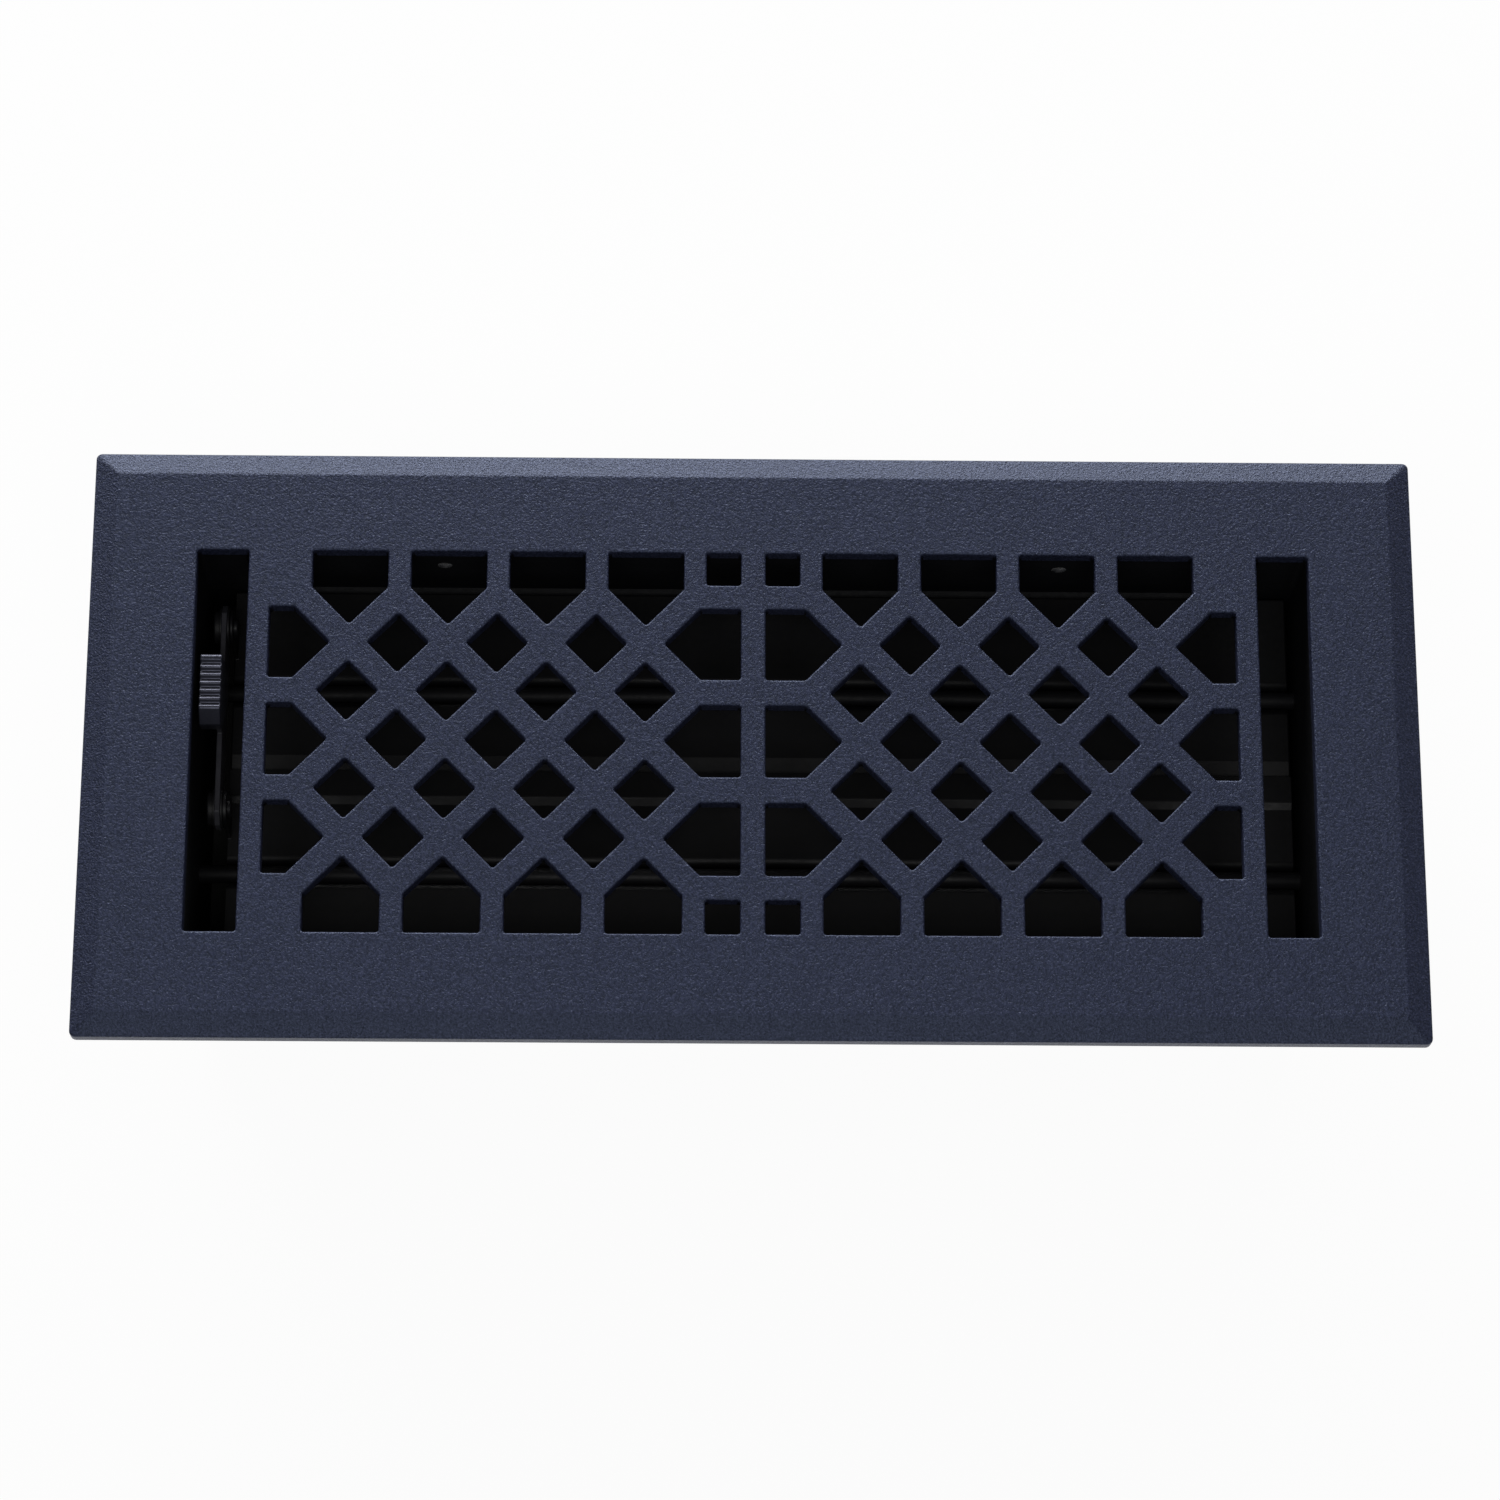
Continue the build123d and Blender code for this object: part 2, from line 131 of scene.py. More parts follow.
# Screws and rivets, in millimetres
HEX_FLATS = 6.4
HEX_HEIGHT = 3.0
HEX_FACE = 6.08
SCREW_PLAY = 0.02
RIVET_HEAD = 5.8
RIVET_HEAD_HEIGHT = 1.1
RIVET_RIM = 0.3
RIVET_SHANK = 3.16
RIVET_TAIL = 3.4
RIVET_TAIL_EDGE = 0.4
PIN_HEAD = 7.6
PIN_HEAD_HEIGHT = 1.2
PIN_HEAD_EDGE = 0.4
PIN_SHANK = 3.96
PIN_TAIL_EDGE = 0.3

# Angles in degrees: chamfer of the screw heads, and the bends that stay crisp on turned pieces and screws
HEX_CHAMFER = 30.0
TURNED_CREASE = 35.0
HEX_CREASE = 25.0

# Soft edges of CAD nodes: widths in millimetres, steps, least bend in degrees, weld reach in millimetres
SOFT_EDGES = {
    "front_louver": 0.35,
    "rear_louver": 0.35,
    "front_side_wall": 0.2,
    "rear_side_wall": 0.2,
    "lever_end_wall": 0.2,
    "plain_end_wall": 0.2,
    "link_bar": 0.2,
    "spacer_washers": 0.15,
    "friction_washers": 0.15,
    "front_pivot_rod": 0.3,
    "rear_pivot_rod": 0.3,
}
SOFT_EDGE_STEPS = 2
SOFT_EDGE_ANGLE = 40.0
WELD_REACH = 0.001

# Fineness of the surfaces, in noise cells per metre
COAT_GRAIN = 2300.0
COAT_PEEL = 1000.0
COAT_CLOUD = 45.0
SHEET_STREAK = 60.0
SHEET_PEEL = 900.0
PLATING_CLOUD = 600.0
PLATING_DRAW = 400.0
CAP_GRAIN = 2600.0
CAP_CLOUD = 250.0
FLOOR_CLOUD = 4.0

# Usual reach of noise, and the noise values of a surface's darker and lighter colour
NOISE_LOW = 0.25
NOISE_HIGH = 0.75
DARK_STOP = 0.3
LIGHT_STOP = 0.7

# Colours of the powder coat's grain from its pits to its specks, by noise value
COAT_STOPS = (
    (0.3, (0.0042, 0.0052, 0.0115, 1)),
    (0.5, (0.017, 0.0204, 0.0435, 1)),
    (0.7, (0.0425, 0.0495, 0.0955, 1)),
    (0.84, (0.12, 0.13, 0.18, 1)),
)

# Colours of the coat's shaded clouds and of the gloss on coat and cap
COAT_SHADE = (0.9, 0.91, 0.93, 1)
COAT_GLOSS = (0.58, 0.69, 1.0, 1)
CAP_GLOSS = (0.72, 0.75, 1.0, 1)
WHITE = (1, 1, 1, 1)

# How far the roughness of sheet paint goes below and above its usual value
SHEET_SMOOTHER = 0.06
SHEET_ROUGHER = 0.08

# Camera fitted to the lattice in the photograph: place in metres, its directions, lens and sensor in mm
CAMERA_PLACE = (-0.014917, -0.306377, 0.959892)
CAMERA_RIGHT = (0.99987636, 0.00210412, 0.01558346)
CAMERA_UP = (-0.0067363, 0.95278485, 0.30357151)
CAMERA_BACK = (-0.01420893, -0.30363895, 0.95268121)
LENS = 110.42
SENSOR = 36.0
CLIP_NEAR = 0.05
CLIP_FAR = 50.0

# Lights: places and sizes in metres, and levels
SKY_LEVEL = 0.1
BACK_PLACE = (-0.2, 1.55, 0.5)
BACK_SIZE = (1.8, 0.5)
BACK_LIGHT = 13.8
TOP_PLACE = (-0.05, -0.75, 1.5)
TOP_SIZE = (1.2, 0.7)
TOP_LIGHT = 3.5

# Floor: its half size in metres, its colours and how much of the shadow on it shows
FLOOR_REACH = 6.0
FLOOR_PALE = (0.89, 0.89, 0.89, 1)
FLOOR_PALER = (0.91, 0.91, 0.91, 1)
FLOOR_SHADOW = 0.05

# Painted shade on the floor under the open box, fading out around it like a soft shadow: its colour, its
# half size and how far it fades out, in metres
UNDER_SHADE_TONE = (0.035, 0.035, 0.035, 1)
UNDER_X = 0.1238
UNDER_BACK = 0.0636
UNDER_FRONT = 0.0476
FADE_X = 0.014
FADE_BACK = 0.025
FADE_FRONT = 0.005


def srgb(red, green, blue):
    """Linear colour of an 8-bit display colour."""
    channels = [value / 255 for value in (red, green, blue)]
    linear = [c / 12.92 if c <= 0.04045 else ((c + 0.055) / 1.055) ** 2.4 for c in channels]
    return (*linear, 1.0)


class Nodes:
    """A material's node tree with short ways to add and join nodes."""

    def __init__(self, name):
        self.material = bpy.data.materials.new(name)
        self.material.use_nodes = True
        self.tree = self.material.node_tree
        self.shader = self.tree.nodes["Principled BSDF"]
        coordinates = self.tree.nodes.new("ShaderNodeTexCoord")
        self.place = coordinates.outputs["Object"]

    def add(self, kind, **settings):
        """Add a node and give it its settings."""
        node = self.tree.nodes.new(kind)
        for name, value in settings.items():
            setattr(node, name, value)
        return node

    def join(self, output, target):
        """Lead an output to a socket."""
        self.tree.links.new(output, target)

    def vary(self, name, output):
        """Let an output drive one of the shader's sockets."""
        self.join(output, self.shader.inputs[name])

    def fix(self, name, value):
        """Set one of the shader's sockets to the same value all over."""
        self.shader.inputs[name].default_value = value

    def noise(self, scale, detail=2.0, roughness=0.5, stretch=None):
        """Noise over the object's own space, scale in cells per metre."""
        node = self.add("ShaderNodeTexNoise")
        node.inputs["Scale"].default_value = scale
        node.inputs["Detail"].default_value = detail
        node.inputs["Roughness"].default_value = roughness
        source = self.place
        if stretch:
            mapping = self.add("ShaderNodeMapping")
            mapping.inputs["Scale"].default_value = stretch
            self.join(source, mapping.inputs["Vector"])
            source = mapping.outputs["Vector"]
        self.join(source, node.inputs["Vector"])
        return node.outputs["Fac"]

    def ramp(self, factor, *stops):
        """Colour ramp through (position, colour) stops."""
        node = self.add("ShaderNodeValToRGB")
        elements = node.color_ramp.elements
        while len(elements) < len(stops):
            elements.new(0.5)
        for element, (position, colour) in zip(elements, stops):
            element.position = position
            element.color = colour
        self.join(factor, node.inputs["Fac"])
        return node.outputs["Color"]

    def shaded(self, factor, dark, light):
        """Noise as a colour between two."""
        return self.ramp(factor, (DARK_STOP, dark), (LIGHT_STOP, light))

    def span(self, value, low, high, first=NOISE_LOW, last=NOISE_HIGH):
        """Map first to last, by default the usual reach of noise, onto a range of plain numbers."""
        node = self.add("ShaderNodeMapRange")
        node.inputs["From Min"].default_value = first
        node.inputs["From Max"].default_value = last
        node.inputs["To Min"].default_value = low
        node.inputs["To Max"].default_value = high
        self.join(value, node.inputs["Value"])
        return node.outputs["Result"]

    def tinted(self, first, second):
        """Multiply two colours."""
        node = self.add("ShaderNodeMix", data_type="RGBA", blend_type="MULTIPLY")
        node.inputs["Factor"].default_value = 1.0
        self.join(first, node.inputs["A"])
        self.join(second, node.inputs["B"])
        return node.outputs["Result"]

    def calculate(self, operation, *values):
        """Arithmetic on outputs and plain numbers."""
        node = self.add("ShaderNodeMath", operation=operation)
        for value, target in zip(values, node.inputs):
            if isinstance(value, float):
                target.default_value = value
            else:
                self.join(value, target)
        return node.outputs[0]

    def bump(self, height, strength, distance, below=None):
        """Raised grain, on top of another bump if there is one below."""
        node = self.add("ShaderNodeBump")
        node.inputs["Strength"].default_value = strength
        node.inputs["Distance"].default_value = distance
        self.join(height, node.inputs["Height"])
        if below is not None:
            self.join(below, node.inputs["Normal"])
        return node.outputs["Normal"]


def powder_coat():
    """Sandy blue-black powder coat of the casting."""
    n = Nodes("plate_powder_coat")
    grain = n.noise(COAT_GRAIN, roughness=0.6)
    grains = n.ramp(grain, *COAT_STOPS)
    shade = n.shaded(n.noise(COAT_CLOUD, detail=3.0), COAT_SHADE, WHITE)
    n.vary("Base Color", n.tinted(grains, shade))
    n.vary("Roughness", n.span(grain, low=0.5, high=0.38))
    n.fix("Specular IOR Level", 0.6)
    n.fix("Specular Tint", COAT_GLOSS)
    peel = n.bump(n.noise(COAT_PEEL), strength=0.34, distance=0.0003)
    n.vary("Normal", n.bump(grain, strength=0.66, distance=0.0003, below=peel))
    return n.material


def sheet_paint(name, dark, light, roughness, gloss):
    """Paint over rolled sheet steel, with faint rolling streaks."""
    n = Nodes(name)
    streaks = n.noise(SHEET_STREAK, detail=4.0, stretch=(0.15, 4.0, 4.0))
    peel = n.noise(SHEET_PEEL)
    n.vary("Base Color", n.shaded(streaks, dark, light))
    n.vary("Roughness", n.span(peel, roughness - SHEET_SMOOTHER, roughness + SHEET_ROUGHER))
    n.fix("Specular IOR Level", gloss)
    n.vary("Normal", n.bump(peel, strength=0.12, distance=0.0001))
    return n.material


def plated_steel():
    """Dull zinc-plated steel of the screws and corner rivets."""
    n = Nodes("plated_steel_dull")
    cloud = n.noise(PLATING_CLOUD, detail=4.0, roughness=0.6)
    drawn = n.noise(PLATING_DRAW, detail=3.0, stretch=(0.05, 3.0, 3.0))
    n.vary("Base Color", n.shaded(cloud, dark=srgb(128, 130, 134), light=srgb(176, 177, 178)))
    n.vary("Roughness", n.span(drawn, low=0.32, high=0.52))
    n.fix("Metallic", 1.0)
    n.vary("Normal", n.bump(drawn, strength=0.1, distance=0.00008))
    return n.material


def cap_plastic():
    """Satin blue-black moulded plastic with a fine moulded grain."""
    n = Nodes("cap_moulded_plastic")
    grain = n.noise(CAP_GRAIN)
    cloud = n.noise(CAP_CLOUD)
    n.vary("Base Color", n.shaded(cloud, dark=srgb(20, 21, 26), light=srgb(29, 30, 37)))
    n.vary("Roughness", n.span(grain, low=0.3, high=0.44))
    n.fix("Specular IOR Level", 0.75)
    n.fix("Specular Tint", CAP_GLOSS)
    n.vary("Normal", n.bump(grain, strength=0.15, distance=0.00005))
    return n.material


# Material of each slot, and of the link bar, which is painted lighter than the rest of its slot as a painted
# highlight on its lit edge
FINISHES = {
    "plate_coat": powder_coat(),
    "box_coat": sheet_paint(
        "box_satin_paint",
        dark=srgb(13, 14, 17),
        light=srgb(20, 21, 25),
        roughness=0.58,
        gloss=0.25,
    ),
    "louver_coat": sheet_paint(
        "louver_satin_paint",
        dark=srgb(10, 10, 12),
        light=srgb(15, 15, 18),
        roughness=0.45,
        gloss=0.33,
    ),
    # Blackened steel painted darker than it is, as painted shade on the lever's rivets and washers
    "lever_steel": sheet_paint(
        "lever_blackened_steel_and_shade",
        dark=srgb(16, 16, 18),
        light=srgb(26, 26, 29),
        roughness=0.5,
        gloss=0.3,
    ),
    "plated_steel": plated_steel(),
    "cap_plastic": cap_plastic(),
}
# Lighter copy of the lever steel for the link bar: a painted highlight on its lit top edge
LINK_HIGHLIGHT_FINISH = sheet_paint(
    "link_painted_highlight_steel",
    dark=srgb(44, 44, 49),
    light=srgb(60, 60, 66),
    roughness=0.45,
    gloss=0.3,
)


def finish_cad_nodes():
    """Give every CAD node the material of its slot, and the link bar the lighter copy with its painted
    highlight.
    """
    for part in frame["record"]["subparts"]:
        mesh = frame["nodes"][part["node"]].data
        mesh.materials.clear()
        mesh.materials.append(FINISHES[part["material_slot"]])
    frame["nodes"]["link_bar"].data.materials[0] = LINK_HIGHLIGHT_FINISH


class Skin:
    """Collects the points and faces of one mesh, in millimetres."""

    def __init__(self):
        self.points = []
        self.faces = []
        self.rounded = []

    def loop(self, points):
        """Add a ring of points and return their numbers."""
        first = len(self.points)
        self.points += [tuple(p) for p in points]
        return list(range(first, len(self.points)))

    def face(self, numbers, rounded=False):
        """Add a face, and say if it is part of a curve."""
        self.faces.append(tuple(numbers))
        self.rounded.append(rounded)

    def strip(self, lower, upper, rounded):
        """Quads between two rings of as many points; rounded says for each quad if it is part of a curve."""
        count = len(lower)
        for i in range(count):
            after = (i + 1) % count
            self.face((lower[i], lower[after], upper[after], upper[i]), rounded(i))

    def fill(self, outline, holes):
        """Flat face inside a ring of points, less the holes."""
        rings = [outline] + holes
        numbers = [number for ring in rings for number in ring]
        flat = [Vector(self.points[number][:2]) for number in numbers]
        areas = []
        first = 0
        for ring in rings:
            areas.append(list(range(first, first + len(ring))))
            first += len(ring)
        _, _, triangles, sources, _, inside = delaunay_2d_cdt(flat, [], areas, INSIDE_ONLY, SAME_POINT)
        for triangle, owners in zip(triangles, inside):
            if list(owners) == [0]:
                self.face([numbers[sources[corner][0]] for corner in triangle])

    def build(self, name, slot, body, *nodes):
        """Make the piece, let it ride on its body and stand for the given nodes."""
        mesh = bpy.data.meshes.new(name)
        mesh.from_pydata([Vector(p) * MM for p in self.points], [], self.faces)
        mesh.polygons.foreach_set("use_smooth", self.rounded)
        turned = bmesh.new()
        turned.from_mesh(mesh)
        bmesh.ops.recalc_face_normals(turned, faces=turned.faces)
        turned.to_mesh(mesh)
        turned.free()
        mesh.materials.append(FINISHES[slot])
        piece = bpy.data.objects.new(name, mesh)
        bpy.context.scene.collection.objects.link(piece)
        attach(piece, body)
        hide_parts(*nodes)
        return piece


class Outline:
    """Convex outline with rounded corners, from which rings at any offset and height are taken."""

    def __init__(self, points, radius):
        corners = [Vector(p) for p in points]
        area = sum(a.x * b.y - b.x * a.y for a, b in zip(corners, corners[1:] + corners[:1]))
        if area < 0:
            corners.reverse()
        self.radius = radius
        self.spokes = []
        for index, corner in enumerate(corners):
            before = (corner - corners[index - 1]).normalized()
            after = (corners[(index + 1) % len(corners)] - corner).normalized()
            first = Vector((before.y, -before.x))
            last = Vector((after.y, -after.x))
            centre = corner - (first + last) * (radius / (1 + first.dot(last)))
            start = atan2(first.y, first.x)
            sweep = acos(max(-1.0, min(1.0, first.dot(last))))
            for step in range(CORNER_STEPS + 1):
                angle = start + sweep * step / CORNER_STEPS
                self.spokes.append((centre, Vector((cos(angle), sin(angle)))))

    def ring(self, offset):
        """Points of the outline moved outwards by the offset, on its plane."""
        return [centre + direction * (self.radius + offset) for centre, direction in self.spokes]

    def at(self, offset, z):
        """The same points, at a height."""
        return [(p.x, p.y, z) for p in self.ring(offset)]


def on_corner(index):
    """True where the stretch after a point of an outline's ring belongs to a rounded corner."""
    return index % (CORNER_STEPS + 1) != CORNER_STEPS


def everywhere(_):
    """True for all of a ring."""
    return True


def softened(before, corner, after, reach):
    """Points of a soft bend at a corner of a profile, starting and ending at the given reach from it."""
    before, corner, after = Vector(before), Vector(corner), Vector(after)
    start = corner + (before - corner).normalized() * reach
    end = corner + (after - corner).normalized() * reach
    bend = []
    for step in range(EDGE_STEPS + 1):
        t = step / EDGE_STEPS
        bend.append(start * (1 - t) ** 2 + corner * (2 * t * (1 - t)) + end * t**2)
    return bend


# Sizes of the pattern that follow from the pitch and the bars
diamond_share = (1 - LATTICE_BAR * sqrt(PITCH_X**-2 + PITCH_Y**-2)) / 2
diamond_x = diamond_share * PITCH_X
diamond_y = diamond_share * PITCH_Y
house_half = (PITCH_X - HOUSE_BAR) / 2
house_roof = house_half * PITCH_Y / PITCH_X
pocket_half = (PITCH_Y - CROSS_BAR) / 2
pocket_roof = pocket_half * PITCH_X / PITCH_Y
centre_apex_x = CENTRE_BAR / 2 + CENTRE_FLAT + pocket_roof
inner_column = centre_apex_x + PITCH_X / 2 - diamond_x
end_apex_x = inner_column + (COLUMNS - 0.5) * PITCH_X - diamond_x
house_apex_y = 1.5 * PITCH_Y - diamond_y
field_x = end_apex_x + pocket_roof + END_FLAT
field_y = house_apex_y + house_roof + HOUSE_SIDE
slot_inner = field_x + SLOT_BAR
slot_outer = slot_inner + SLOT_WIDTH

# Middles of the four bosses and their screws
boss_x = field_x - BOSS_INSET_X
boss_y = field_y - BOSS_INSET_Y
boss_places = [(x, y) for x in (-boss_x, boss_x) for y in (-boss_y, boss_y)]


def diamond(x, y):
    """Four-sided hole of the lattice, about its middle."""
    return [(x - diamond_x, y), (x, y - diamond_y), (x + diamond_x, y), (x, y + diamond_y)]


def house(x, side):
    """Five-sided hole along a long edge, its roof pointing at the plate's middle."""
    eaves = side * (field_y - HOUSE_SIDE)
    edge = side * field_y
    left, right = x - house_half, x + house_half
    return [(left, edge), (right, edge), (right, eaves), (x, side * house_apex_y), (left, eaves)]


def pocket(wall, shoulder, apex, y):
    """Five-sided hole with one upright edge and a roof pointing along X."""
    low, high = y - pocket_half, y + pocket_half
    return [(wall, low), (shoulder, low), (apex, y), (shoulder, high), (wall, high)]


def upright(x1, x2, y1, y2):
    """Rectangle between two places along X and two along Y."""
    return [(x1, y1), (x2, y1), (x2, y2), (x1, y2)]


def pattern_holes():
    """All holes of the grille, mirrored about the upright bar in the middle."""
    holes = []
    rows = (-PITCH_Y, 0, PITCH_Y)
    for side in (-1, 1):
        for column in range(COLUMNS):
            x = side * (inner_column + column * PITCH_X)
            holes += [diamond(x, -PITCH_Y / 2), diamond(x, PITCH_Y / 2), house(x, -1), house(x, 1)]
        for column in range(COLUMNS - 1):
            x = side * (inner_column + (column + 0.5) * PITCH_X)
            holes += [diamond(x, y) for y in rows]
        near = side * CENTRE_BAR / 2
        for y in rows:
            holes.append(pocket(near, near + side * CENTRE_FLAT, side * centre_apex_x, y))
            holes.append(pocket(side * field_x, side * (field_x - END_FLAT), side * end_apex_x, y))
        for edge in (-1, 1):
            far = edge * field_y
            holes.append(upright(near, near + side * SQUARE_SIDE, far - edge * SQUARE_SIDE, far))
        holes.append(upright(side * slot_inner, side * slot_outer, -field_y, field_y))
    return holes


def add_rim(plate, half_x, half_y):
    """Rim from its foot up over the bevel to the face; returns its lowest and its highest ring."""
    floor_corner, face_inside = (0, 0), (2 * BEVEL_WIDTH, PLATE_THICKNESS)
    bevel_foot, bevel_top = (0, EDGE_HEIGHT), (BEVEL_WIDTH, PLATE_THICKNESS)
    profile = softened((BEVEL_WIDTH, 0), floor_corner, bevel_foot, FOOT_EDGE)
    profile += softened(floor_corner, bevel_foot, bevel_top, RIM_EDGE)
    profile += softened(bevel_foot, bevel_top, face_inside, FACE_EDGE)
    rings = []
    for inset, z in profile:
        blend = min(max(inset, 0) / BEVEL_WIDTH, 1)
        radius = OUTER_CORNER + (FACE_CORNER - OUTER_CORNER) * blend
        x, y = half_x - inset, half_y - inset
        outline = Outline(upright(-x, x, -y, y), radius)
        rings.append(plate.loop(outline.at(0, z)))
    for index in range(len(rings) - 1):
        on_bend = (index + 1) % (EDGE_STEPS + 1) != 0
        plate.strip(rings[index], rings[index + 1], everywhere if on_bend else on_corner)
    return rings[0], rings[-1]


def add_hole(plate, points):
    """Walls of one hole with a rolled upper edge; returns its lowest and its highest ring."""
    hole = Outline(points, HOLE_CORNER)
    bottom = plate.loop(hole.at(0, RECESS_DEPTH))
    lower = bottom
    for step in range(EDGE_STEPS + 1):
        angle = pi / 2 * step / EDGE_STEPS
        offset = HOLE_EDGE * (1 - cos(angle))
        upper = plate.loop(hole.at(offset, PLATE_THICKNESS - HOLE_EDGE * (1 - sin(angle))))
        plate.strip(lower, upper, everywhere if step else on_corner)
        lower = upper
    return bottom, lower


def add_boss(plate, x, y):
    """Tapered square boss with a blind screw hole under the plate; returns the ring of its foot."""
    half = BOSS_SIDE / 2
    boss = Outline(upright(x - half, x + half, y - half, y + half), BOSS_CORNER)
    foot = plate.loop(boss.at(0, RECESS_DEPTH))
    lower = foot
    for inset, z in ((BOSS_TAPER, FOOT_EDGE - BOSS_DROP), (BOSS_TAPER + FOOT_EDGE, -BOSS_DROP)):
        upper = plate.loop(boss.at(-inset, z))
        plate.strip(lower, upper, on_corner)
        lower = upper
    radius = SCREW_DIAMETER / 2
    angles = [2 * pi * i / BORE_STEPS for i in range(BORE_STEPS)]
    bore = [(x + radius * cos(a), y + radius * sin(a)) for a in angles]
    mouth = plate.loop([(*p, -BOSS_DROP) for p in bore])
    bottom = plate.loop([(*p, SCREW_DEPTH - BOSS_DROP) for p in bore])
    plate.fill(lower, [mouth])
    plate.strip(mouth, bottom, everywhere)
    plate.face(bottom)
    return foot


def make_faceplate():
    """Softened casting: rounded rim, bevel, recessed underside, bosses and the pierced lattice."""
    _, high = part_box("faceplate")
    half_x, half_y = high.x / MM, high.y / MM
    plate = Skin()
    foot, face = add_rim(plate, half_x, half_y)
    x, y = half_x - RIM_LAND, half_y - RIM_LAND
    recess = Outline(upright(-x, x, -y, y), RECESS_CORNER)
    recess_foot = plate.loop(recess.at(0, 0))
    recess_roof = plate.loop(recess.at(0, RECESS_DEPTH))
    plate.fill(foot, [recess_foot])
    plate.strip(recess_foot, recess_roof, on_corner)
    holes = [add_hole(plate, points) for points in pattern_holes()]
    plate.fill(face, [top for _, top in holes])
    bosses = [add_boss(plate, *place) for place in boss_places]
    plate.fill(recess_roof, [bottom for bottom, _ in holes] + bosses)
    plate.build("faceplate_casting", "plate_coat", "register_frame", "faceplate")


def make_thumb_cap():
    """Finger piece with rounded ribs across its top, soft edges and a front cut back towards the foot."""
    low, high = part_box("thumb_cap")
    front, back = low.y / MM, high.y / MM
    bottom, top = low.z / MM, high.z / MM
    middle = (low.x + high.x) / 2 / MM
    corners = [
        (back, bottom),
        (back, top),
        (front + CAP_SHOULDER, top),
        (front, top - CAP_SHOULDER),
        (front, top - CAP_SHOULDER - CAP_FRONT),
        (back - CAP_FOOT, bottom),
    ]
    side = Outline(corners, CAP_CORNER)
    after_back = 2 * (CORNER_STEPS + 1)
    rib_middle = (back + front + CAP_SHOULDER) / 2 + RIB_SHIFT
    grooves = [rib_middle + (i - (RIB_COUNT - 1) / 2) * RIB_PITCH for i in range(RIB_COUNT)]

    def groove_depth(y):
        away = min(abs(y - groove) for groove in grooves) / (RIB_PITCH / 2)
        return RIB_DEPTH * cos(pi / 2 * away) ** 2 if away < 1 else 0.0

    def ring(inset, x):
        points = side.ring(-inset)
        start, end = points[after_back - 1], points[after_back]
        ribs = [start.lerp(end, i / RIB_SAMPLES) for i in range(1, RIB_SAMPLES)]
        ribs = [Vector((p.x, p.y - groove_depth(p.x))) for p in ribs]
        return [(x, p.x, p.y) for p in points[:after_back] + ribs + points[after_back:]]

    cap = Skin()
    rings = []
    angles = [radians(90 * i / EDGE_STEPS) for i in range(EDGE_STEPS + 1)]
    for end, turns in ((-1, angles), (1, angles[::-1])):
        for angle in turns:
            inset = CAP_SOFT * (1 - sin(angle))
            x = middle + end * (CAP_WIDTH / 2 - CAP_SOFT * (1 - cos(angle)))
            rings.append(cap.loop(ring(inset, x)))
    for lower, upper in zip(rings, rings[1:]):
        cap.strip(lower, upper, everywhere)
    cap.face(rings[0])
    cap.face(rings[-1])
    cap.build("thumb_cap_moulding", "cap_plastic", "lever", "thumb_cap")


def add_turned(skin, profile, origin, axis):
    """Turn a profile of (radius, height) points about an axis; its first and last points lie on the axis."""
    turn = Vector(axis).to_track_quat("Z", "Y").to_matrix()
    origin = Vector(origin)
    rings = []
    for radius, height in profile:
        angles = [2 * pi * i / TURN_STEPS for i in range(TURN_STEPS)] if radius else [0]
        points = [Vector((radius * cos(a), radius * sin(a), height)) for a in angles]
        rings.append(skin.loop([origin + turn @ p for p in points]))
    for lower, upper in zip(rings, rings[1:]):
        for i in range(TURN_STEPS):
            after = (i + 1) % TURN_STEPS
            if len(lower) == 1:
                skin.face((lower[0], upper[after], upper[i]), True)
            elif len(upper) == 1:
                skin.face((lower[i], lower[after], upper[0]), True)
            else:
                skin.face((lower[i], lower[after], upper[after], upper[i]), True)


def crease(piece, angle):
    """Keep the edges sharper than the angle crisp."""
    piece.data.set_sharp_from_angle(angle=radians(angle))


def make_corner_rivets():
    """Domed rivets at the box corners, with the upset tail inside."""
    low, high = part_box("corner_rivets")
    x = high.x / MM - RIVET_HEAD / 2
    z = (low.z + high.z) / 2 / MM
    seat = high.y / MM - RIVET_HEAD_HEIGHT
    head, shank = RIVET_HEAD / 2, RIVET_SHANK / 2
    rise = RIVET_HEAD_HEIGHT - RIVET_RIM
    profile = [
        (0, -RIVET_TAIL),
        (shank - RIVET_TAIL_EDGE, -RIVET_TAIL),
        (shank, RIVET_TAIL_EDGE - RIVET_TAIL),
        (shank, 0),
        (head, 0),
    ]
    for step in range(DOME_STEPS):
        angle = pi / 2 * step / DOME_STEPS
        profile.append((head * cos(angle), RIVET_RIM + rise * sin(angle)))
    profile.append((0, RIVET_HEAD_HEIGHT))
    rivets = Skin()
    for side_x in (-x, x):
        for side in (-1, 1):
            add_turned(rivets, profile, (side_x, side * seat, z), (0, side, 0))
    piece = rivets.build("corner_rivet_set", "plated_steel", "register_frame", "corner_rivets")
    crease(piece, TURNED_CREASE)


